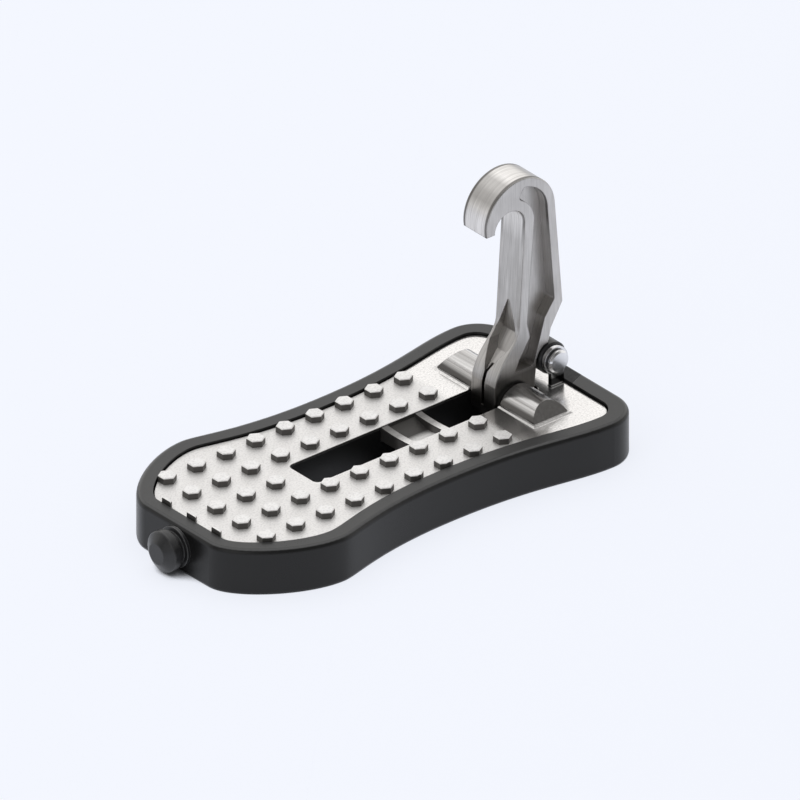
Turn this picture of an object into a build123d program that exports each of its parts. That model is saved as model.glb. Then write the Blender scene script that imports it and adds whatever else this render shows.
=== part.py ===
from build123d import *

import os
from math import cos, radians, sin, sqrt

# Car door latch step: a studded aluminium tread on a black moulded board, with a hook that folds into it.
# Millimetres. +X runs along the board to the hook end, +Y across it, +Z up. The origin is in the middle of
# the footprint, on the surface that the board rests on. The hook is drawn standing, as it is in use.

os.makedirs("parts", exist_ok=True)

# Board, seen from above. Places along the board are measured from its hammer end.
board_length = 151.8
board_height = 15.2
hammer_end_flat = 30.0
lobe_place = 33.6
lobe_width = 76.8
waist_place = 81.6
waist_width = 63.6
hinge_end_width = 76.2
corner_radius = 12.3
rim_width = 5.8
rim_extra_at_hook = 0.6
rim_round = 1.6
sole_round = 0.8

# Tread plate
plate_thickness = 2.0
plate_below_rim = 0.9
plate_gap = 0.15
plate_edge_gap = 0.45
slot_width = 13.5
slot_corner = 1.8
slot_edge_round = 0.4
lip_width = 1.2
lip_height = 1.2
boss_radius = 3.0
boss_depth = 4.0

# Studs: a square grid of hexagons, some of them cut off by the edge of the plate
stud_place = 15.7
stud_pitch = 11.565
stud_radius = 2.93
stud_height = 2.2
stud_chamfer = 0.25
stud_columns = 9
stud_columns_before_slot = 3

# Strap that crosses the slot under the folded hook
strap_from_axle = 26.1
strap_length = 15.6
strap_lip = 2.4
strap_drop = 0.4
strap_lip_dish = 0.35
strap_web_drop = 1.0
strap_web_dish = 2.0
strap_depth = 5.0
strap_shoulder = 1.8

# Axle and the housings over it
axle_place = 127.5
axle_height = 12.4
axle_radius = 4.0
axle_length = 41.0
axle_chamfer = 0.5
axle_gap = 0.05
housing_radius = 7.0
housing_length = 16.3
housing_end_slope = 3.5
housing_pad = 0.9
housing_pad_height = 0.45
spacer_wall = 1.9
side_gap = 0.3
hub_end_gap = 1.5
crown_end_gap = 2.0

# Hook, drawn from the axle: along is towards the hook end of the board, up is away from it
hook_width = 11.2
hub_radius = 7.8
crown_radius = 13.5
crown_along = 2.6
crown_up = 62.8
crown_shoulder_up = 64.0
mouth_radius = 5.85
mouth_along = -1.5
mouth_up = 60.7
tip_thickness = 3.2
shank_front_along = 2.1
shank_front_up = 25.5
flare_along = -1.2
flare_up = 18.4
toe_along = -7.4
toe_up = 7.6
rear_along = 19.1
rear_up = 28.4
heel_along = 14.5
heel_up = 20.6
heel_ledge = 0.9
hook_round = 0.4

# Pocket in each side of the hook, with the web left between the two. Angles are in degrees above level.
web = 3.2
flange = 3.0
mouth_ring_radius = 9.4
mouth_ring_angle = 70.0
pocket_tip_angle = 84.0
pocket_rear_along = 15.8
pocket_rear_up = 30.4
pocket_knee_along = 12.0
pocket_knee_up = 25.2
pocket_foot_along = 7.6
pocket_ledge_along = 0.3
pocket_ledge_up = 10.3
pocket_shin_along = 2.0
pocket_shin_up = 14.0
pocket_bend_along = 6.2
pocket_bend_up = 20.5
pocket_corner = 1.2

# Kite-shaped hollow in the front of the hook's foot, and the thin slit that parts the two legs below it
kite_top_along = 2.3
kite_top_up = 34.5
kite_point_up = 33.5
kite_wide_up = 22.0
kite_narrow_up = 18.5
kite_width = 8.8
kite_deep_along = 4.2
kite_deep_up = 21.0
kite_shin_along = 0.4
kite_shin_up = 15.4
kite_foot_along = -5.6
kite_foot_up = 11.0
slit_width = 1.2
slit_top_along = -2.6
slit_top_up = 12.5
slit_foot_along = -5.6
slit_foot_up = 5.0

# Stop: a sleeve on a headed pin between two ears, which the back of the hook leans on
stop_along = 14.4
stop_up = 10.6
stop_gap = 0.3
sleeve_radius = 5.2
sleeve_bore_gap = 0.05
stop_pin_radius = 2.5
ear_gap = 13.1
ear_thickness = 1.5
ear_radius = 4.5
stem_length = 4.9
washer_radius = 3.75
washer_thickness = 0.6
pin_head_radius = 3.75
pin_head_height = 1.25
pin_head_chamfer = 0.6
pin_end_chamfer = 0.4
pin_tail = 2.0
clip_radius = 3.9
clip_thickness = 0.7
clip_groove = 0.6
clip_mouth = 2.6
clip_gap = 0.05
sleeve_end_gap = 0.1
sleeve_chamfer = 0.4
bracket_thickness = 2.0
bracket_length = 5.4
bracket_width = 33.0
bracket_gap = 0.25
stem_overhang = 1.2

# Hammer: a steel point pressed into the board, under a black cap
hammer_height = 7.75
hammer_radius = 3.0
hammer_depth = 14.0
hammer_reach = 5.6
hammer_point = 2.6
hammer_tip_radius = 0.6
cap_reach = 8.0
cap_radius = 6.6
cap_neck_radius = 5.3
cap_flange = 1.1
cap_neck_length = 2.0
cap_head_length = 2.8
cap_nose_radius = 3.4
cap_round = 0.7
cap_step = 0.3
cap_wall_gap = 0.1

# Rubber buffer let into the hook end of the rim, wider at the back so that it stays in
buffer_width = 17.2
buffer_flare = 2.7
buffer_bottom = 1.5
buffer_gap = 0.1

# Screws, all driven from below
screw_radius = 1.5
thread_gap = 0.05
screw_head_radius = 2.7
screw_head_height = 1.8
screw_head_depth = 0.6
screw_cross = 1.0
screw_head_chamfer = 0.3
screw_gap = 0.1
screw_head_gap = 0.2
screw_inset = 13.9
lobe_screw_place = 22.9
waist_screw_place = 78.9
hinge_screw_place = 138.9
bracket_screw_spread = 26.0

# Worked out from the sizes above
board_left = (cap_reach - board_length) / 2
board_right = board_left + board_length
plate_top = board_height - plate_below_rim
plate_bottom = plate_top - plate_thickness
axle_x = board_left + axle_place
slot_right = axle_x + hub_radius + hub_end_gap
slot_left = axle_x - crown_up - crown_radius - crown_end_gap
slot_length = slot_right - slot_left
slot_middle = (slot_left + slot_right) / 2
strap_right = axle_x - strap_from_axle
strap_left = strap_right - strap_length
stop_x = axle_x + stop_along
stop_z = axle_height + stop_up
hook_half = hook_width / 2
ear_inner = ear_gap / 2
ear_outer = ear_inner + ear_thickness
rim_inner_right = board_right - rim_width - rim_extra_at_hook
bracket_bottom = plate_bottom - bracket_thickness
stem_right = rim_inner_right - plate_edge_gap
bracket_right = stem_right - stem_overhang
bracket_x = bracket_right - bracket_length / 2
strap_top = plate_top - strap_drop
strap_bottom = plate_top - strap_depth
plate_screws = [
    (board_left + place, side * (width / 2 - screw_inset))
    for place, width in (
        (lobe_screw_place, lobe_width),
        (waist_screw_place, waist_width),
        (hinge_screw_place, hinge_end_width),
    )
    for side in (1, -1)
]
bracket_screws = [(bracket_x, side * bracket_screw_spread / 2) for side in (1, -1)]
all_screws = plate_screws + bracket_screws

# How far each bend of the outline leans along the board, and how much less on an outline drawn further in
corner_pull = 9.5
lobe_pull = 14.5
lobe_tail_pull = 6.0
waist_pull = 30.0
waist_tail_pull = 33.0
hinge_pull = 14.5
pull_per_inset = 0.55


def outline(inset, shift):
    """The board's outline from above, drawn a distance further in and moved along by a shift."""
    left = board_left + inset + shift
    right = board_right - inset + shift
    lobe = (board_left + lobe_place + shift, lobe_width / 2 - inset)
    waist = (board_left + waist_place + shift, waist_width / 2 - inset)
    hinge_end = (board_right - corner_radius + shift, hinge_end_width / 2 - inset)
    with BuildSketch() as profile:
        with BuildLine():
            end_face = Line((left, 0), (left, hammer_end_flat / 2))
            lobe_bend = Bezier(
                end_face @ 1,
                (left, hammer_end_flat / 2 + corner_pull - pull_per_inset * inset),
                (lobe[0] - lobe_pull + pull_per_inset * inset, lobe[1]),
                lobe,
            )
            waist_bend = Bezier(
                lobe_bend @ 1,
                (lobe[0] + lobe_tail_pull, lobe[1]),
                (waist[0] - waist_pull, waist[1]),
                waist,
            )
            hinge_bend = Bezier(
                waist_bend @ 1,
                (waist[0] + waist_tail_pull, waist[1]),
                (hinge_end[0] - hinge_pull, hinge_end[1]),
                hinge_end,
            )
            corner_end = (right, hinge_end_width / 2 - corner_radius)
            corner = TangentArc(hinge_bend @ 1, corner_end, tangent=hinge_bend % 1)
            Line(corner @ 1, (right, 0))
            mirror(about=Plane.XZ)
        make_face()
    return profile.sketch


board_outline = outline(0, 0)
recess_outline = outline(rim_width, -rim_extra_at_hook)
plate_outline = outline(rim_width + plate_edge_gap, -rim_extra_at_hook)


def buffer_profile(gap):
    """The buffer's outline from above, let out by a gap on the sides that sit in the rim."""
    front = buffer_width / 2 + gap
    back = front + buffer_flare
    with BuildSketch() as profile:
        with BuildLine():
            Polyline(
                (board_right, -front),
                (rim_inner_right - gap, -back),
                (rim_inner_right - gap, back),
                (board_right, front),
                close=True,
            )
        make_face()
    return profile.sketch


# Board: the black moulding with the rim, the bed for the plate and the long slot
with BuildPart() as base_frame:
    with BuildSketch():
        add(board_outline)
    extrude(amount=board_height)
    fillet(base_frame.faces().sort_by(Axis.Z)[-1].edges(), rim_round)
    fillet(base_frame.faces().sort_by(Axis.Z)[0].edges(), sole_round)
    with BuildSketch(Plane.XY.offset(plate_bottom)):
        add(recess_outline)
    extrude(amount=board_height - plate_bottom, mode=Mode.SUBTRACT)
    with BuildSketch(Plane.XY.offset(plate_bottom)):
        with Locations((slot_middle, 0)):
            RectangleRounded(
                slot_length + 2 * lip_width,
                slot_width + 2 * lip_width,
                slot_corner + lip_width,
            )
    extrude(amount=lip_height)
    with BuildSketch():
        with Locations((slot_middle, 0)):
            RectangleRounded(slot_length, slot_width, slot_corner)
    extrude(amount=plate_bottom + lip_height, mode=Mode.SUBTRACT)
    with BuildSketch(Plane.XY.offset(plate_top - strap_depth - plate_gap)):
        with Locations((strap_left + strap_length / 2, 0)):
            Rectangle(strap_length + 2 * plate_gap, slot_width + 2 * strap_shoulder + 2 * plate_gap)
    extrude(amount=strap_depth, mode=Mode.SUBTRACT)
    with BuildSketch(Plane.XZ) as axle_bed:
        with Locations((axle_x, axle_height)):
            Circle(axle_radius + axle_gap)
    extrude(amount=axle_length / 2 + axle_gap, both=True, mode=Mode.SUBTRACT)
    with BuildSketch(Plane.XY.offset(bracket_bottom - plate_gap)):
        with Locations((bracket_x, 0)):
            Rectangle(bracket_length + 2 * bracket_gap, bracket_width + 2 * bracket_gap)
    extrude(amount=bracket_thickness + 2 * plate_gap, mode=Mode.SUBTRACT)
    with BuildSketch(Plane.XY.offset(buffer_bottom)):
        add(buffer_profile(buffer_gap))
    extrude(amount=board_height - buffer_bottom, mode=Mode.SUBTRACT)
    with BuildSketch(Plane.YZ.offset(board_left)):
        with Locations((0, hammer_height)):
            Circle(hammer_radius)
    extrude(amount=hammer_depth, mode=Mode.SUBTRACT)
    with BuildSketch(Plane.XY.offset(plate_bottom)):
        with Locations(*plate_screws):
            Circle(boss_radius + plate_gap)
    extrude(amount=-boss_depth - plate_gap, mode=Mode.SUBTRACT)
    with BuildSketch():
        with Locations(*all_screws):
            Circle(screw_radius + screw_gap)
    extrude(amount=plate_bottom, mode=Mode.SUBTRACT)
    with BuildSketch():
        with Locations(*all_screws):
            Circle(screw_head_radius + screw_head_gap)
    extrude(amount=screw_head_depth + screw_head_height, mode=Mode.SUBTRACT)

base_frame.part.label = "base_frame"
export_step(base_frame.part, "parts/base_frame.step")

# One axle housing, drawn on the far side of the slot: a half barrel on a thin pad, with a sloping end
with BuildPart() as housing:
    with BuildSketch(Plane.XZ.offset(-slot_width / 2)):
        with Locations((axle_x, axle_height)):
            Circle(housing_radius)
        with Locations((axle_x, plate_top)):
            Rectangle(
                3 * housing_radius,
                3 * housing_radius,
                align=(Align.CENTER, Align.MAX),
                mode=Mode.SUBTRACT,
            )
    extrude(amount=-housing_length)
    barrel_rise = axle_height + housing_radius - plate_top
    slope = Plane(
        origin=(axle_x, slot_width / 2 + housing_length, plate_top),
        z_dir=(0, barrel_rise, housing_end_slope),
    )
    split(bisect_by=slope, keep=Keep.BOTTOM)
    barrel_half = sqrt(housing_radius**2 - (plate_top - axle_height) ** 2)
    with BuildSketch(Plane.XY.offset(plate_top)):
        with Locations((axle_x, slot_width / 2)):
            Rectangle(
                2 * (barrel_half + housing_pad),
                housing_length + housing_pad,
                align=(Align.CENTER, Align.MIN),
            )
    extrude(amount=housing_pad_height, taper=45)

# Studs, made as whole hexagons with a chamfered top and then cut off at the edge of the plate
with BuildPart() as studs:
    stud_places = [
        (board_left + stud_place + column * stud_pitch, row * stud_pitch)
        for column in range(-1, stud_columns)
        for row in (-2, -1, 0, 1, 2)
        if not (row == 0 and column >= stud_columns_before_slot) and not (column < 0 and abs(row) == 2)
    ]
    with BuildSketch(Plane.XY.offset(plate_top)) as stud_feet:
        with Locations(*stud_places):
            RegularPolygon(radius=stud_radius, side_count=6, rotation=30)
    extrude(amount=stud_height - stud_chamfer)
    extrude(studs.faces().sort_by(Axis.Z)[-len(stud_places):], amount=stud_chamfer, taper=45)
    with BuildSketch(Plane.XY.offset(plate_top)):
        add(plate_outline)
    extrude(amount=stud_height, mode=Mode.INTERSECT)

# Tread plate: one casting with its studs, axle housings, screw bosses and the strap across the slot
with BuildPart() as tread_plate:
    with BuildSketch(Plane.XY.offset(plate_bottom)):
        add(plate_outline)
        with Locations((slot_middle, 0)):
            RectangleRounded(slot_length, slot_width, slot_corner, mode=Mode.SUBTRACT)
    extrude(amount=plate_thickness)
    slot_edges = (
        tread_plate.faces().sort_by(Axis.Z)[-1].edges().filter_by_position(
            Axis.Y, -slot_width / 2, slot_width / 2
        ).filter_by_position(Axis.X, slot_left, slot_left + slot_length)
    )
    fillet(slot_edges, slot_edge_round)
    with BuildSketch(Plane.XY.offset(plate_bottom)):
        with Locations((slot_middle, 0)):
            RectangleRounded(
                slot_length + 2 * lip_width + 2 * plate_gap,
                slot_width + 2 * lip_width + 2 * plate_gap,
                slot_corner + lip_width + plate_gap,
            )
    extrude(amount=lip_height + plate_gap, mode=Mode.SUBTRACT)
    add(studs.part)
    add(housing.part)
    add(housing.part.mirror(Plane.XZ))
    for start, length, drop, dish in (
        (strap_left, strap_lip, 0, strap_lip_dish),
        (strap_left + strap_lip, strap_length - 2 * strap_lip, strap_web_drop, strap_web_dish),
        (strap_right - strap_lip, strap_lip, 0, strap_lip_dish),
    ):
        with BuildSketch(Plane.YZ.offset(start)):
            with BuildLine():
                hollow = ThreePointArc(
                    (-slot_width / 2, strap_top - drop),
                    (0, strap_top - drop - dish),
                    (slot_width / 2, strap_top - drop),
                )
                Polyline(
                    hollow @ 1,
                    (slot_width / 2, strap_top),
                    (slot_width / 2 + strap_shoulder, strap_top),
                    (slot_width / 2 + strap_shoulder, strap_bottom),
                    (-slot_width / 2 - strap_shoulder, strap_bottom),
                    (-slot_width / 2 - strap_shoulder, strap_top),
                    (-slot_width / 2, strap_top),
                    hollow @ 0,
                )
            make_face()
        extrude(amount=length)
    with BuildSketch(Plane.XY.offset(plate_bottom - boss_depth)):
        with Locations(*plate_screws):
            Circle(boss_radius)
    extrude(amount=boss_depth)
    with BuildSketch(Plane.XY.offset(plate_bottom - boss_depth)):
        with Locations(*plate_screws):
            Circle(screw_radius)
    extrude(amount=boss_depth + plate_thickness / 2, mode=Mode.SUBTRACT)
    with BuildSketch(Plane.XZ):
        with Locations((axle_x, axle_height)):
            Circle(axle_radius + axle_gap)
    extrude(amount=axle_length / 2 + axle_gap, both=True, mode=Mode.SUBTRACT)
    with BuildSketch(Plane.XY.offset(plate_bottom)):
        for side in (1, -1):
            with Locations((board_right, side * (ear_inner + ear_outer) / 2)):
                Rectangle(
                    board_right - stem_right + stem_length + bracket_gap,
                    ear_thickness + 2 * bracket_gap,
                    align=(Align.MAX, Align.CENTER),
                )
    extrude(amount=plate_thickness, mode=Mode.SUBTRACT)

tread_plate.part.label = "tread_plate"
export_step(tread_plate.part, "parts/tread_plate.step")

# Stop bracket: two round-headed ears that stand up through the plate from a bar under it
with BuildPart() as stop_bracket:
    with BuildSketch(Plane.XY.offset(bracket_bottom)):
        with Locations((bracket_x, 0)):
            Rectangle(bracket_length, bracket_width)
    extrude(amount=bracket_thickness)
    for side in (1, -1):
        with BuildSketch(Plane.XZ.offset(side * ear_inner)):
            with Locations((stop_x, stop_z)):
                Circle(ear_radius)
            with Locations((stem_right, plate_bottom)):
                Rectangle(stem_length, stop_z - plate_bottom, align=(Align.MAX, Align.MIN))
        extrude(amount=side * ear_thickness)
    with BuildSketch(Plane.XZ):
        with Locations((stop_x, stop_z)):
            Circle(stop_pin_radius + sleeve_bore_gap)
    extrude(amount=ear_outer, both=True, mode=Mode.SUBTRACT)
    with BuildSketch(Plane.XY.offset(bracket_bottom)):
        with Locations(*bracket_screws):
            Circle(screw_radius)
    extrude(amount=bracket_thickness, mode=Mode.SUBTRACT)

stop_bracket.part.label = "stop_bracket"
export_step(stop_bracket.part, "parts/stop_bracket.step")

# Axle that the hook turns on, held between the plate and the board
with BuildPart() as hinge_axle:
    with BuildSketch(Plane.XZ):
        with Locations((axle_x, axle_height)):
            Circle(axle_radius)
    extrude(amount=axle_length / 2, both=True)
    chamfer(hinge_axle.edges(), axle_chamfer)

hinge_axle.part.label = "hinge_axle"
export_step(hinge_axle.part, "parts/hinge_axle.step")


def axle_spacer(side):
    """A plain ring that keeps the hook in the middle of the slot."""
    with BuildPart() as ring:
        with BuildSketch(Plane.XZ.offset(side * (hook_half + side_gap))):
            with Locations((axle_x, axle_height)):
                Circle(axle_radius + spacer_wall)
                Circle(axle_radius + axle_gap, mode=Mode.SUBTRACT)
        extrude(amount=side * (slot_width / 2 - hook_half - 2 * side_gap))
    return ring


spacer_near = axle_spacer(1)
spacer_near.part.label = "axle_spacer_near"
export_step(spacer_near.part, "parts/axle_spacer_near.step")
spacer_far = axle_spacer(-1)
spacer_far.part.label = "axle_spacer_far"
export_step(spacer_far.part, "parts/axle_spacer_far.step")


def from_axle(along, up):
    """A point of the hook's side view, placed from the axle."""
    return (axle_x + along, axle_height + up)


# Hook: a forging with a deep pocket in each side and two legs at its foot
tip_along = mouth_along - mouth_radius - tip_thickness
clear_along = tip_along - tip_thickness
seat_radius = sleeve_radius + stop_gap
seat_along = heel_along - heel_ledge
seat_up = stop_up + sqrt(seat_radius**2 - (stop_along - seat_along) ** 2)
pocket_crown = crown_radius - flange
ring_end = radians(mouth_ring_angle)
tip_end = radians(pocket_tip_angle)

with BuildPart() as kite:
    with BuildSketch(Plane.XZ):
        with BuildLine():
            Polyline(
                from_axle(clear_along, kite_top_up),
                from_axle(kite_top_along, kite_top_up),
                from_axle(kite_deep_along, kite_deep_up),
                from_axle(kite_shin_along, kite_shin_up),
                from_axle(kite_foot_along, kite_foot_up),
                from_axle(clear_along, kite_foot_up),
                close=True,
            )
        make_face()
    extrude(amount=kite_width / 2, both=True)
    with BuildSketch(Plane.YZ.offset(axle_x + clear_along)):
        with BuildLine():
            Polyline(
                (0, axle_height + kite_point_up),
                (kite_width / 2, axle_height + kite_wide_up),
                (kite_width / 2, axle_height + kite_narrow_up),
                (slit_width / 2, axle_height + kite_foot_up),
                (0, axle_height + kite_foot_up),
            )
            mirror(about=Plane.YZ)
        make_face()
    extrude(amount=2 * crown_radius, mode=Mode.INTERSECT)

with BuildPart() as slit:
    with BuildSketch(Plane.XZ):
        with BuildLine():
            Polyline(
                from_axle(clear_along, slit_top_up),
                from_axle(slit_top_along, slit_top_up),
                from_axle(slit_foot_along, slit_foot_up),
                from_axle(slit_foot_along, 0),
                from_axle(clear_along, 0),
                close=True,
            )
        make_face()
    extrude(amount=slit_width / 2, both=True)

with BuildPart() as hook:
    with BuildSketch(Plane.XZ.offset(-hook_half)):
        with BuildLine():
            tip_face = Line(from_axle(mouth_along - mouth_radius, mouth_up), from_axle(tip_along, mouth_up))
            crown_arc = ThreePointArc(
                tip_face @ 1,
                from_axle(crown_along, crown_up + crown_radius),
                from_axle(crown_along + crown_radius, crown_shoulder_up),
            )
            back = Polyline(
                crown_arc @ 1,
                from_axle(rear_along, rear_up),
                from_axle(heel_along, heel_up),
                from_axle(seat_along, seat_up),
            )
            seat = RadiusArc(back @ 1, from_axle(stop_along - seat_radius, stop_up), -seat_radius)
            down = Line(seat @ 1, from_axle(hub_radius, 0))
            hub = ThreePointArc(down @ 1, from_axle(0, -hub_radius), from_axle(-hub_radius, 0))
            toe = Line(hub @ 1, from_axle(toe_along, toe_up))
            flare = Spline(
                toe @ 1,
                from_axle(flare_along, flare_up),
                from_axle(shank_front_along, shank_front_up),
                tangents=[(0.2, 1), (0.03, 1)],
            )
            front = Line(flare @ 1, from_axle(mouth_along + mouth_radius, mouth_up))
            ThreePointArc(front @ 1, from_axle(mouth_along, mouth_up + mouth_radius), tip_face @ 0)
        make_face()
    extrude(amount=hook_width)
    fillet(hook.faces().filter_by(Axis.Y).edges(), hook_round)
    for side in (1, -1):
        with BuildSketch(Plane.XZ.offset(side * hook_half)) as pocket:
            with BuildLine():
                pocket_front = Line(
                    from_axle(shank_front_along + flange, shank_front_up),
                    from_axle(mouth_along + mouth_ring_radius, mouth_up),
                )
                ring_arc = RadiusArc(
                    pocket_front @ 1,
                    from_axle(
                        mouth_along + mouth_ring_radius * cos(ring_end),
                        mouth_up + mouth_ring_radius * sin(ring_end),
                    ),
                    -mouth_ring_radius,
                )
                tip_line = Line(
                    ring_arc @ 1,
                    from_axle(
                        crown_along + pocket_crown * cos(tip_end),
                        crown_up + pocket_crown * sin(tip_end),
                    ),
                )
                inner_crown = RadiusArc(
                    tip_line @ 1,
                    from_axle(crown_along + pocket_crown, crown_up),
                    pocket_crown,
                )
                Polyline(
                    inner_crown @ 1,
                    from_axle(pocket_rear_along, pocket_rear_up),
                    from_axle(pocket_knee_along, pocket_knee_up),
                    from_axle(pocket_foot_along, pocket_ledge_up),
                    from_axle(pocket_ledge_along, pocket_ledge_up),
                    from_axle(pocket_shin_along, pocket_shin_up),
                    from_axle(pocket_bend_along, pocket_bend_up),
                    pocket_front @ 0,
                )
            make_face()
            foot_corners = pocket.vertices().sort_by(Axis.Z)[:7]
            fillet(foot_corners, pocket_corner)
        extrude(amount=-side * (hook_width - web) / 2, mode=Mode.SUBTRACT)
    add(kite.part, mode=Mode.SUBTRACT)
    add(slit.part, mode=Mode.SUBTRACT)
    with BuildSketch(Plane.XZ):
        with Locations((axle_x, axle_height)):
            Circle(axle_radius + axle_gap)
    extrude(amount=hook_half, both=True, mode=Mode.SUBTRACT)

hook.part.label = "hook"
export_step(hook.part, "parts/hook.step")

# Headed pin through the two ears, with a washer under its head and a groove for its clip at the far end
head_start = ear_outer + washer_thickness
clip_start = ear_outer + clip_gap
with BuildPart() as stop_pin:
    with BuildSketch(Plane.XZ.offset(head_start)):
        with Locations((stop_x, stop_z)):
            Circle(pin_head_radius)
    extrude(amount=pin_head_height)
    chamfer(stop_pin.faces().sort_by(Axis.Y)[0].edges(), pin_head_chamfer)
    with BuildSketch(Plane.XZ.offset(head_start)):
        with Locations((stop_x, stop_z)):
            Circle(stop_pin_radius)
    extrude(amount=-head_start - ear_outer - pin_tail)
    chamfer(stop_pin.faces().sort_by(Axis.Y)[-1].edges(), pin_end_chamfer)
    with BuildSketch(Plane.XZ.offset(-clip_start + clip_gap)):
        with Locations((stop_x, stop_z)):
            Circle(stop_pin_radius)
            Circle(stop_pin_radius - clip_groove, mode=Mode.SUBTRACT)
    extrude(amount=-clip_thickness - 2 * clip_gap, mode=Mode.SUBTRACT)

stop_pin.part.label = "stop_pin"
export_step(stop_pin.part, "parts/stop_pin.step")

with BuildPart() as pin_washer:
    with BuildSketch(Plane.XZ.offset(ear_outer)):
        with Locations((stop_x, stop_z)):
            Circle(washer_radius)
            Circle(stop_pin_radius + sleeve_bore_gap, mode=Mode.SUBTRACT)
    extrude(amount=washer_thickness)

pin_washer.part.label = "pin_washer"
export_step(pin_washer.part, "parts/pin_washer.step")

# Open ring that snaps into the pin's groove
with BuildPart() as pin_clip:
    with BuildSketch(Plane.XZ.offset(-clip_start)):
        with Locations((stop_x, stop_z)):
            Circle(clip_radius)
            Circle(stop_pin_radius - clip_groove + clip_gap, mode=Mode.SUBTRACT)
            Rectangle(clip_radius, clip_mouth, align=(Align.MIN, Align.CENTER), mode=Mode.SUBTRACT)
    extrude(amount=-clip_thickness)

pin_clip.part.label = "pin_clip"
export_step(pin_clip.part, "parts/pin_clip.step")

# Sleeve that the hook's heel leans on
with BuildPart() as stop_sleeve:
    with BuildSketch(Plane.XZ):
        with Locations((stop_x, stop_z)):
            Circle(sleeve_radius)
            Circle(stop_pin_radius + sleeve_bore_gap, mode=Mode.SUBTRACT)
    extrude(amount=ear_inner - sleeve_end_gap, both=True)
    chamfer(stop_sleeve.edges().filter_by(GeomType.CIRCLE).sort_by(SortBy.RADIUS)[-2:], sleeve_chamfer)

stop_sleeve.part.label = "stop_sleeve"
export_step(stop_sleeve.part, "parts/stop_sleeve.step")

# Steel hammer point, pressed into the end of the board
hammer_axis = Axis((board_left, 0, hammer_height), (1, 0, 0))
point_x = board_left - hammer_reach
cone_x = point_x + hammer_point
with BuildPart() as hammer_point_pin:
    with BuildSketch(Plane.XZ):
        with BuildLine():
            Polyline(
                (board_left + hammer_depth, hammer_height),
                (board_left + hammer_depth, hammer_height + hammer_radius),
                (cone_x, hammer_height + hammer_radius),
                (point_x, hammer_height + hammer_tip_radius),
                (point_x, hammer_height),
                close=True,
            )
        make_face()
    revolve(axis=hammer_axis)

hammer_point_pin.part.label = "hammer_point"
export_step(hammer_point_pin.part, "parts/hammer_point.step")

# Cap over the point: a flange against the board, a neck and a blunt coned head
cap_nose_x = board_left - cap_reach
flange_x = board_left - cap_flange
neck_x = flange_x - cap_neck_length
head_x = neck_x - cap_head_length
with BuildPart() as hammer_cap:
    with BuildSketch(Plane.XZ) as cap_profile:
        with BuildLine():
            Polyline(
                (board_left, hammer_height + hammer_radius + cap_wall_gap),
                (board_left, hammer_height + cap_radius),
                (flange_x, hammer_height + cap_radius),
                (flange_x - cap_step, hammer_height + cap_neck_radius),
                (neck_x + cap_step, hammer_height + cap_neck_radius),
                (neck_x, hammer_height + cap_radius),
                (head_x, hammer_height + cap_radius),
                (cap_nose_x, hammer_height + cap_nose_radius),
                (cap_nose_x, hammer_height),
                (point_x - cap_wall_gap, hammer_height),
                (point_x - cap_wall_gap, hammer_height + hammer_tip_radius + cap_wall_gap),
                (cone_x - cap_wall_gap, hammer_height + hammer_radius + cap_wall_gap),
                close=True,
            )
        make_face()
        outer_corners = cap_profile.vertices().filter_by_position(
            Axis.Y, hammer_height + cap_nose_radius, hammer_height + cap_radius
        ).filter_by_position(Axis.X, cap_nose_x, neck_x, inclusive=(True, True))
        fillet(outer_corners, cap_round)
    revolve(axis=hammer_axis)

hammer_cap.part.label = "hammer_cap"
export_step(hammer_cap.part, "parts/hammer_cap.step")

# Rubber buffer at the hook end
with BuildPart() as end_buffer:
    with BuildSketch(Plane.XY.offset(buffer_bottom + buffer_gap)):
        add(buffer_profile(0))
    extrude(amount=board_height - buffer_bottom - buffer_gap)
    outer_face = end_buffer.faces().sort_by(Axis.X)[-1]
    fillet(outer_face.edges().sort_by(Axis.Z)[-1], rim_round)

end_buffer.part.label = "end_buffer"
export_step(end_buffer.part, "parts/end_buffer.step")


def screw(place, top):
    """A pan-headed screw with a cross slot, driven upwards from the underside."""
    with BuildPart() as fastener:
        with BuildSketch(Plane.XY.offset(screw_head_depth)):
            with Locations(place):
                Circle(screw_head_radius)
        extrude(amount=screw_head_height)
        chamfer(fastener.faces().sort_by(Axis.Z)[0].edges(), screw_head_chamfer)
        with BuildSketch(Plane.XY.offset(screw_head_depth + screw_head_height)):
            with Locations(place):
                Circle(screw_radius - thread_gap)
        extrude(amount=top - screw_head_depth - screw_head_height)
        with BuildSketch(Plane.XY.offset(screw_head_depth)):
            with Locations(place):
                Rectangle(2 * screw_head_radius - 2 * screw_cross, screw_cross / 2)
                Rectangle(screw_cross / 2, 2 * screw_head_radius - 2 * screw_cross)
        extrude(amount=screw_cross, mode=Mode.SUBTRACT)
    return fastener


plate_screw_top = plate_bottom + plate_thickness / 2 - screw_gap
bracket_screw_top = plate_bottom - screw_gap
for number, place in enumerate(plate_screws, start=1):
    plate_screw = screw(place, plate_screw_top)
    plate_screw.part.label = f"plate_screw_{number}"
    export_step(plate_screw.part, f"parts/plate_screw_{number}.step")
for number, place in enumerate(bracket_screws, start=1):
    bracket_screw = screw(place, bracket_screw_top)
    bracket_screw.part.label = f"bracket_screw_{number}"
    export_step(bracket_screw.part, f"parts/bracket_screw_{number}.step")
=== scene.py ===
from math import cos, radians, sin

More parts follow.
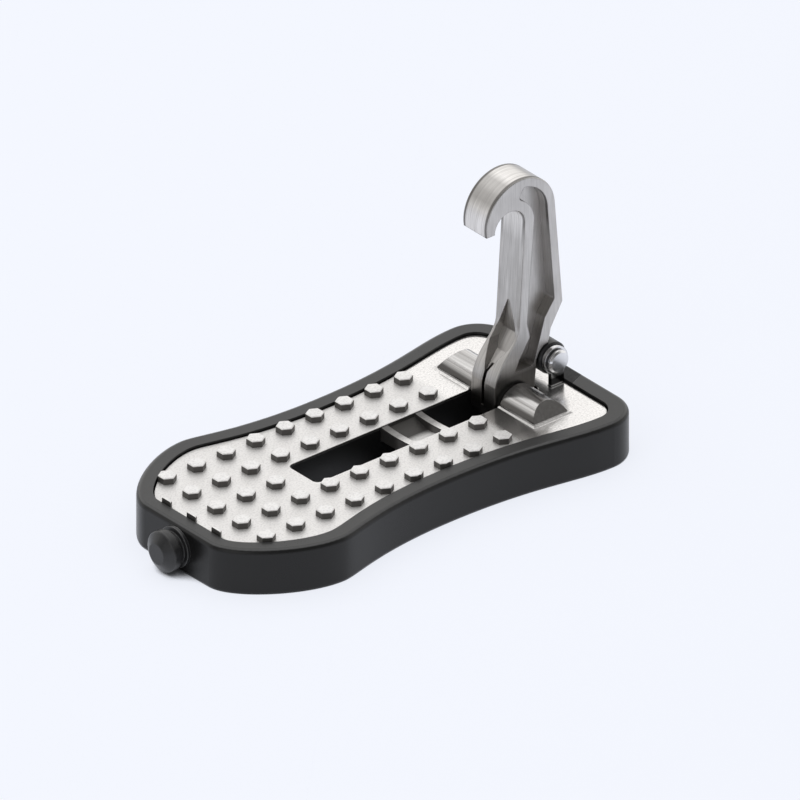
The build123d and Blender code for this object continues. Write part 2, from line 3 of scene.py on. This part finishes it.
import bpy
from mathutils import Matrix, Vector

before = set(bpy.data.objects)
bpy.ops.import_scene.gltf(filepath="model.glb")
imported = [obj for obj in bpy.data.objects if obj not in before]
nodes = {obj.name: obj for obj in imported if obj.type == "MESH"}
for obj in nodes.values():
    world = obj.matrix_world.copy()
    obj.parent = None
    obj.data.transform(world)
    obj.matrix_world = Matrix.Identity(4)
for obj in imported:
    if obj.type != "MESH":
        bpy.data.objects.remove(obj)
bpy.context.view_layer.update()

# Places on the part. A look starts at the first number and is full at the second.
STUD_TOP_Z = (0.0161, 0.0165)
HOUSING_Z = (0.0145, 0.0150)
HINGE_END_X = (0.0385, 0.0415)
STRAP_LIP_Z = (0.01415, 0.0140)
STRAP_DIP_Z = (0.0137, 0.0130)
LIP_FAR_Y = (-0.0045, 0.0)
DIP_FAR_Y = (-0.0016, 0.0010)
DIP_NEAR_Y = (0.0010, -0.0016)
# Where the hook's reflection is painted on the plate
REFLECTION_FROM_SLOT_Y = (-0.0055, -0.0080)
REFLECTION_TO_RIM_Y = (-0.0270, -0.0225)
REFLECTION_TO_HOUSING_X = (0.0500, 0.0470)
POCKET_Y = (0.0054, 0.0046)
HOOK_EDGE_Y = (0.0043, 0.0046)
EDGE_LINE_Z = (0.0640, 0.0720)
CROWN_Z = (0.0660, 0.0740)
CROWN_TOP_Z = (0.0740, 0.0780)
FOOT_SHADE_Z = (0.0270, 0.0215)
IN_SLOT_Z = (0.0200, 0.0140)
STOP_STEM_TOP_Z = (0.0182, 0.0170)
STOP_STEM_FOOT_Z = (0.0146, 0.0150)

# The part of a noise's range that most of the surface lies in
NOISE_LOW, NOISE_HIGH = 0.3, 0.7


def add_node(tree, kind, inputs=None, **settings):
    """A shader node with its settings, and with its inputs linked or set."""
    made = tree.nodes.new("ShaderNode" + kind)
    for name, value in settings.items():
        setattr(made, name, value)
    for name, value in (inputs or {}).items():
        if isinstance(value, bpy.types.NodeSocket):
            tree.links.new(value, made.inputs[name])
        else:
            made.inputs[name].default_value = value
    return made


class Look:
    """One procedural material, built node by node over a Principled shader."""

    def __init__(self, name, metallic=0.0, specular=0.5):
        self.material = bpy.data.materials.new(name)
        self.material.use_nodes = True
        self.tree = self.material.node_tree
        self.shader = self.tree.nodes["Principled BSDF"]
        self.shader.inputs["Metallic"].default_value = metallic
        self.shader.inputs["Specular IOR Level"].default_value = specular
        self.place = self.add("TexCoord").outputs["Object"]

    def add(self, kind, inputs=None, **settings):
        return add_node(self.tree, kind, inputs, **settings)

    def math(self, operation, a, b=0.0):
        return self.add("Math", {0: a, 1: b}, operation=operation).outputs[0]

    def times(self, first, *others):
        """The product of all the values."""
        for value in others:
            first = self.math("MULTIPLY", first, value)
        return first

    def larger(self, a, b):
        return self.math("MAXIMUM", a, b)

    def grain(self, size, stretch=(1, 1, 1), detail=3.0):
        """Noise from 0 to 1 whose features are about size metres across, drawn out by stretch."""
        scale = [1 / (size * factor) for factor in stretch]
        scaled = self.add("Mapping", {"Vector": self.place, "Scale": scale}).outputs[0]
        settings = {"Vector": scaled, "Scale": 1.0, "Detail": detail, "Roughness": 0.55}
        return self.add("TexNoise", settings).outputs["Fac"]

    def span(self, value, low, high, to_low=0.0, to_high=1.0):
        """Maps low..high of a value onto to_low..to_high and holds it there outside."""
        inputs = {"Value": value, "From Min": low, "From Max": high, "To Min": to_low, "To Max": to_high}
        return self.add("MapRange", inputs).outputs[0]

    def spread(self, noise, to_low=0.0, to_high=1.0):
        """Maps a noise's usual range onto to_low..to_high."""
        return self.span(noise, NOISE_LOW, NOISE_HIGH, to_low, to_high)

    def without(self, value):
        """1 where the value is 0, and 0 where it is 1."""
        return self.span(value, 1.0, 0.0)

    def mix(self, factor, a, b):
        made = self.add("Mix", {0: factor}, data_type="RGBA")
        for index, value in ((6, a), (7, b)):
            if isinstance(value, bpy.types.NodeSocket):
                self.tree.links.new(value, made.inputs[index])
            else:
                made.inputs[index].default_value = (*value, 1.0)
        return made.outputs[2]

    def axis(self, name):
        return self.add("SeparateXYZ", {0: self.place}).outputs[name]

    def at(self, name, place, full=1.0):
        """From 0 to full along an axis, between the two numbers of a place."""
        return self.span(self.axis(name), *place, 0.0, full)

    def off_middle(self, place):
        """From 0 to 1 with the distance from the middle plane, between the two numbers of a place."""
        return self.span(self.math("ABSOLUTE", self.axis("Y")), *place)

    def facing(self, name):
        """How far the surface faces along an axis, from 0 to 1 either way."""
        normal = self.add("TexCoord").outputs["Normal"]
        return self.math("ABSOLUTE", self.add("SeparateXYZ", {0: normal}).outputs[name])

    def edges(self, radius):
        """1 along outer and inner corners, fading to 0 within about the radius."""
        soft = self.add("Bevel", {"Radius": radius}, samples=6).outputs[0]
        flat = self.add("NewGeometry").outputs["Normal"]
        turn = self.add("VectorMath", {0: soft, 1: flat}, operation="DOT_PRODUCT").outputs["Value"]
        return self.span(turn, 1.0, 0.93)

    def corners(self, reach):
        """1 deep in corners and gaps, 0 on open faces."""
        open_sky = self.add("AmbientOcclusion", {"Distance": reach}, samples=8).outputs["AO"]
        return self.span(open_sky, 0.9, 0.25)

    def set(self, name, value):
        self.tree.links.new(value, self.shader.inputs[name])

    def relief(self, height, depth, strength, bevel):
        """Bump from a height of 0 to 1, over edges rounded by the bevel radius."""
        rounded = self.add("Bevel", {"Radius": bevel}, samples=6).outputs[0]
        inputs = {"Height": height, "Distance": depth, "Strength": strength, "Normal": rounded}
        self.set("Normal", self.add("Bump", inputs).outputs[0])

    def put_on(self, *names):
        for name in names:
            slots = nodes[name].data.materials
            slots.clear()
            slots.append(self.material)


# Board: black moulding with a fine eroded grain, dusty on top with a painted sheen, rubbed paler on its edges, with
# a painted highlight on its shoulders
board = Look("board_black", specular=0.33)
tone = board.grain(0.018, detail=4.0)
fine = board.grain(0.00035, detail=2.0)
rubbed = board.times(board.edges(0.0006), board.span(board.grain(0.004), 0.35, 0.7), 0.6)
# Painted highlight: the rounded shoulders of the board's top edges are made paler
shoulder_highlight = board.times(board.span(board.facing("Z"), 0.99, 0.95), board.span(board.facing("Z"), 0.74, 0.84), 0.9)
# Top faces are lighter: partly dust, partly a painted sheen
dust_and_sheen = board.times(board.span(board.facing("Z"), 0.75, 0.98), board.span(tone, 0.2, 0.8, 0.7, 1.0))
moulded = board.mix(tone, (0.0075, 0.0075, 0.0075), (0.0115, 0.0115, 0.0115))
dusty_and_sheened = board.mix(dust_and_sheen, moulded, (0.054, 0.054, 0.054))
board.set("Base Color", board.mix(board.larger(rubbed, shoulder_highlight), dusty_and_sheened, (0.080, 0.080, 0.081)))
board.set("Roughness", board.span(board.math("ADD", tone, fine), 0.6, 1.4, 0.26, 0.38))
board.relief(fine, depth=0.00004, strength=0.35, bevel=0.0003)
board.put_on("base_frame")

# Tread plate: light cast alloy, speckled by blasting, with polished stud tops and painted shade on its flanks and in
# its corners
plate = Look("plate_alloy")
cast = plate.grain(0.00062)
cloud = plate.spread(plate.grain(0.012, detail=4.0))
clean = plate.mix(cloud, (0.87, 0.855, 0.84), (0.92, 0.905, 0.89))
polish = plate.times(plate.at("Z", STUD_TOP_Z), plate.span(plate.facing("Z"), 0.5, 0.9))
polished = plate.mix(polish, clean, (0.92, 0.91, 0.90))
specked = plate.mix(plate.span(cast, 0.44, 0.70, 0.0, 0.42), polished, (0.52, 0.51, 0.50))

# The hinge end is smoother and more metallic, and its two housings show the marks of turning
by_hinge = plate.at("X", HINGE_END_X)
housing = plate.times(by_hinge, plate.at("Z", HOUSING_Z))
streak = plate.span(plate.grain(0.0007, stretch=(1, 60, 1), detail=2.0), 0.35, 0.65)
turned = plate.mix(housing, specked, plate.mix(streak, (0.44, 0.43, 0.42), (0.66, 0.65, 0.64)))
# Painted shade: the stud sides and other steep faces are darkened
painted_flank_shade = plate.span(plate.facing("Z"), 0.70, 0.54)
with_flank_shade = plate.mix(painted_flank_shade, turned, (0.11, 0.105, 0.10))

# Painted reflection: the strap is dark in its far half, standing in for the slot's dark wall mirrored there. In its
# near half the dip is worn bright.
dip = plate.at("Z", STRAP_DIP_Z)
lip = plate.math("SUBTRACT", plate.at("Z", STRAP_LIP_Z), dip)
far_half_reflection = plate.larger(plate.times(dip, plate.at("Y", DIP_FAR_Y)), plate.times(lip, plate.at("Y", LIP_FAR_Y, 0.90)))
with_strap_reflection = plate.mix(far_half_reflection, with_flank_shade, (0.060, 0.057, 0.054))
worn_dip = plate.times(dip, plate.at("Y", DIP_NEAR_Y))

# Painted reflection: a darker patch, the hook's reflection, lies between the last studs and the near housing
hook_reflection = plate.times(
    by_hinge,
    plate.at("X", REFLECTION_TO_HOUSING_X),
    plate.at("Y", REFLECTION_FROM_SLOT_Y),
    plate.at("Y", REFLECTION_TO_RIM_Y),
    0.60,
)
with_hook_reflection = plate.mix(hook_reflection, with_strap_reflection, (0.16, 0.155, 0.15))
# Painted shade: corners and gaps are darkened, mottled by noise
corner_shade = plate.times(plate.corners(0.0018), plate.spread(plate.grain(0.0015), 0.45, 1.0), 0.55)
plate.set("Base Color", plate.mix(corner_shade, with_hook_reflection, (0.10, 0.095, 0.09)))
blasted = plate.larger(plate.times(plate.without(by_hinge), 0.45), worn_dip)
plate.set("Metallic", plate.span(blasted, 0.0, 1.0, 0.92, 0.15))
smoother = plate.times(by_hinge, 0.28)
plate.set("Roughness", plate.math("SUBTRACT", plate.spread(cast, 0.42, 0.52), smoother))
plate.relief(cast, depth=0.00002, strength=0.10, bevel=0.0002)
plate.put_on("tread_plate")

# Hook: satin forging, brushed along its flanks and round its crown, whose colour is painted lighter
hook = Look("hook_satin", metallic=1.0)
on_flank = hook.span(hook.facing("Y"), 0.4, 0.6)
off_flank = hook.without(on_flank)
crown_painted_light = hook.times(off_flank, hook.at("Z", CROWN_Z))
along_flanks = hook.grain(0.00022, stretch=(1, 1, 30), detail=2.0)
round_crown = hook.grain(0.00035, stretch=(40, 1, 40))
brushed = hook.add("Mix", {0: on_flank, 2: round_crown, 3: along_flanks}, data_type="FLOAT").outputs[0]
cloud = hook.spread(hook.grain(0.009, detail=4.0))
satin = hook.mix(cloud, (0.53, 0.515, 0.50), (0.61, 0.595, 0.58))
# Painted light: the crown's base colour is lighter than the flanks'
plain = hook.mix(crown_painted_light, satin, (0.84, 0.82, 0.80))
groove = hook.mix(crown_painted_light, (0.31, 0.30, 0.29), (0.42, 0.405, 0.39))
groove_share = hook.times(hook.span(brushed, 0.35, 0.70), hook.span(off_flank, 0.0, 1.0, 0.30, 0.66))
streaked = hook.mix(groove_share, plain, groove)

# Painted shade darkens the hook's pocket walls, edges, crown slopes and a line along the crown's edge, and its foot
# and the part down in the slot
pocket_wall_shade = hook.times(hook.off_middle(POCKET_Y), hook.span(hook.facing("Y"), 0.6, 0.2), hook.corners(0.006))
with_pocket_shade = hook.mix(pocket_wall_shade, streaked, (0.33, 0.31, 0.29))
# Painted shade along the hook's edges
with_edge_shade = hook.mix(hook.times(hook.edges(0.0005), 0.55), with_pocket_shade, (0.14, 0.13, 0.125))
upward = hook.facing("Z")
# Painted shade on the crown's slopes
slope = hook.times(hook.span(upward, 0.42, 0.60), hook.span(upward, 0.985, 0.93))
crown_slope_shade = hook.times(slope, off_flank, hook.at("Z", CROWN_TOP_Z, 0.70))
with_crown_shade = hook.mix(crown_slope_shade, with_edge_shade, (0.32, 0.31, 0.30))
# A painted shade line along the crown's edges
edge_shade_line = hook.times(hook.off_middle(HOOK_EDGE_Y), off_flank, hook.at("Z", EDGE_LINE_Z, 0.8))
with_shade_line = hook.mix(edge_shade_line, with_crown_shade, (0.09, 0.085, 0.08))
# Painted shade on the foot's flanks and on the part down in the slot
foot_and_slot_shade = hook.larger(hook.times(hook.at("Z", FOOT_SHADE_Z), on_flank, 0.9), hook.at("Z", IN_SLOT_Z))
hook.set("Base Color", hook.mix(foot_and_slot_shade, with_shade_line, (0.085, 0.080, 0.075)))
hook.set("Roughness", hook.spread(brushed, 0.30, 0.44))
hook.relief(brushed, depth=0.00003, strength=0.30, bevel=0.0003)
hook.put_on("hook")

# Polished steel: the ears and the headed pin, with painted shade on the stems just above the plate
bright = Look("bright_steel", metallic=1.0)
turning = bright.grain(0.00025, stretch=(6, 1, 6), detail=2.0)
shiny = bright.mix(bright.grain(0.004), (0.70, 0.70, 0.71), (0.82, 0.82, 0.83))
# Painted shade: the stems are darkened just above the plate
stem_shade = bright.times(bright.at("Z", STOP_STEM_TOP_Z), bright.at("Z", STOP_STEM_FOOT_Z))
bright.set("Base Color", bright.mix(stem_shade, shiny, (0.035, 0.035, 0.036)))
bright.set("Roughness", bright.spread(turning, 0.17, 0.26))
bright.relief(turning, depth=0.000015, strength=0.2, bevel=0.00025)
bright.put_on("stop_bracket", "stop_pin")

# Hammer cap: black rubber, with a painted highlight on its edges
cap = Look("cap_rubber")
mould = cap.grain(0.0005, detail=2.0)
soft_black = cap.mix(cap.grain(0.004), (0.012, 0.012, 0.013), (0.024, 0.024, 0.025))
cap.set("Base Color", cap.mix(cap.times(cap.edges(0.0006), 0.8), soft_black, (0.110, 0.110, 0.112)))
cap.set("Roughness", cap.spread(mould, 0.28, 0.42))
cap.relief(mould, depth=0.00003, strength=0.2, bevel=0.00025)
cap.put_on("hammer_cap")

# The other pieces: one tone that drifts from dark to light, and one fine grain for their gloss and relief
screws = [name for name in nodes if "screw" in name]
PLAIN_LOOKS = (
    {
        "name": "zinc_steel", "pieces": ["hinge_axle", "pin_clip", "hammer_point", *screws], "metallic": 1.0,
        "drift": 0.003, "dark": (0.46, 0.46, 0.47), "light": (0.62, 0.62, 0.61),
        "fine": 0.0006, "detail": 3.0, "gloss": (0.28, 0.42), "depth": 0.00002, "strength": 0.25, "bevel": 0.00015,
    },
    {
        "name": "grey_nylon", "pieces": ["axle_spacer_near", "axle_spacer_far"], "metallic": 0.0,
        "drift": 0.003, "dark": (0.30, 0.30, 0.30), "light": (0.40, 0.40, 0.39),
        "fine": 0.0005, "detail": 2.0, "gloss": (0.38, 0.5), "depth": 0.00002, "strength": 0.2, "bevel": 0.0002,
    },
    {
        "name": "black_nylon", "pieces": ["stop_sleeve", "pin_washer"], "metallic": 0.0,
        "drift": 0.003, "dark": (0.008, 0.008, 0.009), "light": (0.016, 0.016, 0.017),
        "fine": 0.0005, "detail": 2.0, "gloss": (0.28, 0.4), "depth": 0.00002, "strength": 0.2, "bevel": 0.0002,
    },
    {
        "name": "buffer_rubber", "pieces": ["end_buffer"], "metallic": 0.0,
        "drift": 0.005, "dark": (0.006, 0.006, 0.007), "light": (0.014, 0.014, 0.015),
        "fine": 0.0008, "detail": 3.0, "gloss": (0.55, 0.75), "depth": 0.00004, "strength": 0.3, "bevel": 0.0003,
    },
)
for recipe in PLAIN_LOOKS:
    look = Look(recipe["name"], metallic=recipe["metallic"])
    grain = look.grain(recipe["fine"], detail=recipe["detail"])
    look.set("Base Color", look.mix(look.grain(recipe["drift"]), recipe["dark"], recipe["light"]))
    look.set("Roughness", look.spread(grain, *recipe["gloss"]))
    look.relief(grain, recipe["depth"], recipe["strength"], recipe["bevel"])
    look.put_on(*recipe["pieces"])

# Camera: the photograph has no perspective
AZIMUTH, ELEVATION = radians(-40), radians(30)
CAMERA_DISTANCE = 2.0
view_target = Vector((0.02842, 0.0153, 0.0143))
back = Vector((sin(AZIMUTH) * cos(ELEVATION), -cos(AZIMUTH) * cos(ELEVATION), sin(ELEVATION)))
camera = bpy.data.objects.new("camera", bpy.data.cameras.new("camera"))
bpy.context.collection.objects.link(camera)
camera.data.type = "ORTHO"
camera.data.ortho_scale = 0.24
camera.data.clip_start = 0.01
camera.data.clip_end = 50.0
camera.location = view_target + back * CAMERA_DISTANCE
camera.rotation_mode = "QUATERNION"
camera.rotation_quaternion = (-back).to_track_quat("-Z", "Y")
bpy.context.scene.camera = camera

# Floor: seen and mirrored, it glows in the background's colour and still takes a shadow. The glow fades where the
# floor is shut in, so it is dark at the bottom of the board's slot. For all other light the floor is plain and pale.
PALE = (0.905, 0.930, 1.0, 1.0)
FLOOR_REACH = 6.0
FLOOR_GLOW = 0.835
corners = [(x * FLOOR_REACH, y * FLOOR_REACH, 0) for x, y in ((-1, -1), (1, -1), (1, 1), (-1, 1))]
floor_mesh = bpy.data.meshes.new("floor")
floor_mesh.from_pydata(corners, [], [(0, 1, 2, 3)])
floor = bpy.data.objects.new("floor", floor_mesh)
bpy.context.collection.objects.link(floor)
floor_material = bpy.data.materials.new("floor_pale")
floor_material.use_nodes = True
floor_mesh.materials.append(floor_material)
tree = floor_material.node_tree
tree.nodes.clear()
sky = add_node(tree, "AmbientOcclusion", {"Distance": 0.06}, samples=16).outputs["AO"]
open_floor = add_node(tree, "MapRange", {
    "Value": sky, "From Min": 0.22, "From Max": 0.44, "To Min": 0.0, "To Max": FLOOR_GLOW,
}).outputs[0]
glow = add_node(tree, "Emission", {"Color": PALE, "Strength": open_floor}).outputs[0]
shadow_catch = add_node(tree, "BsdfDiffuse", {"Color": (0.20, 0.205, 0.22, 1.0)}).outputs[0]
seen = add_node(tree, "AddShader", {0: shadow_catch, 1: glow}).outputs[0]
lit = add_node(tree, "BsdfDiffuse", {"Color": (0.80, 0.81, 0.84, 1.0)}).outputs[0]
ray = add_node(tree, "LightPath").outputs
seen_or_mirrored = add_node(
    tree, "Math", {0: ray["Is Camera Ray"], 1: ray["Is Glossy Ray"]}, operation="MAXIMUM"
).outputs[0]
chosen = add_node(tree, "MixShader", {0: seen_or_mirrored, 1: lit, 2: seen}).outputs[0]
add_node(tree, "OutputMaterial", {"Surface": chosen})

# World: the camera sees the pale background. Metal mirrors a studio with a bright back wall, dimmer near its top,
# a darker front and a weak softbox overhead. All else is lit by a plain white.
BACK_WALL, FRONT_WALL = 1.12, 0.24
WALL_TOP = 0.45
SOFTBOX = 0.3
WHITE_LIGHT = 0.45
world = bpy.data.worlds.new("studio")
bpy.context.scene.world = world
world.use_nodes = True
tree = world.node_tree
tree.nodes.clear()


def eased(value, low, high, to_low, to_high):
    """Maps low..high of a value smoothly onto to_low..to_high in the world."""
    inputs = {"Value": value, "From Min": low, "From Max": high, "To Min": to_low, "To Max": to_high}
    return add_node(tree, "MapRange", inputs, interpolation_type="SMOOTHSTEP").outputs[0]


ray = add_node(tree, "LightPath").outputs
towards = add_node(tree, "TexCoord").outputs["Generated"]
front_side = (sin(AZIMUTH), -cos(AZIMUTH), 0.0)
frontal = add_node(tree, "VectorMath", {0: towards, 1: front_side}, operation="DOT_PRODUCT").outputs["Value"]
height = add_node(tree, "SeparateXYZ", {0: towards}).outputs["Z"]
walls = add_node(tree, "Math", {
    0: eased(frontal, -0.35, 0.45, BACK_WALL, FRONT_WALL),
    1: eased(height, 0.58, 0.70, 1.0, WALL_TOP),
}, operation="MULTIPLY").outputs[0]
room = add_node(tree, "Math", {0: walls, 1: eased(height, 0.80, 0.95, 0.0, SOFTBOX)}, operation="ADD").outputs[0]
shown = add_node(tree, "Background", {"Color": PALE, "Strength": 1.0}).outputs[0]
mirrored = add_node(tree, "Background", {"Color": (1.0, 0.99, 0.98, 1.0), "Strength": room}).outputs[0]
soft = add_node(tree, "Background", {"Color": (1.0, 1.0, 1.0, 1.0), "Strength": WHITE_LIGHT}).outputs[0]
unseen = add_node(tree, "MixShader", {0: ray["Is Glossy Ray"], 1: soft, 2: mirrored}).outputs[0]
chosen = add_node(tree, "MixShader", {0: ray["Is Camera Ray"], 1: unseen, 2: shown}).outputs[0]
add_node(tree, "OutputWorld", {"Surface": chosen})

# Lamps: square area lamps aimed at the middle of the board
BOARD_MIDDLE = Vector((0, 0, 0.02))


def lamp(name, place, size, power):
    data = bpy.data.lights.new(name, "AREA")
    data.size = size
    data.energy = power
    made = bpy.data.objects.new(name, data)
    bpy.context.collection.objects.link(made)
    made.location = place
    made.rotation_mode = "QUATERNION"
    made.rotation_quaternion = (BOARD_MIDDLE - Vector(place)).to_track_quat("-Z", "Y")


lamp("overhead", (0.10, 0.25, 0.95), size=1.2, power=3.6)
lamp("camera_left", (-0.95, -0.35, 0.60), size=0.85, power=1.7)

bpy.context.scene.view_settings.view_transform = "Standard"
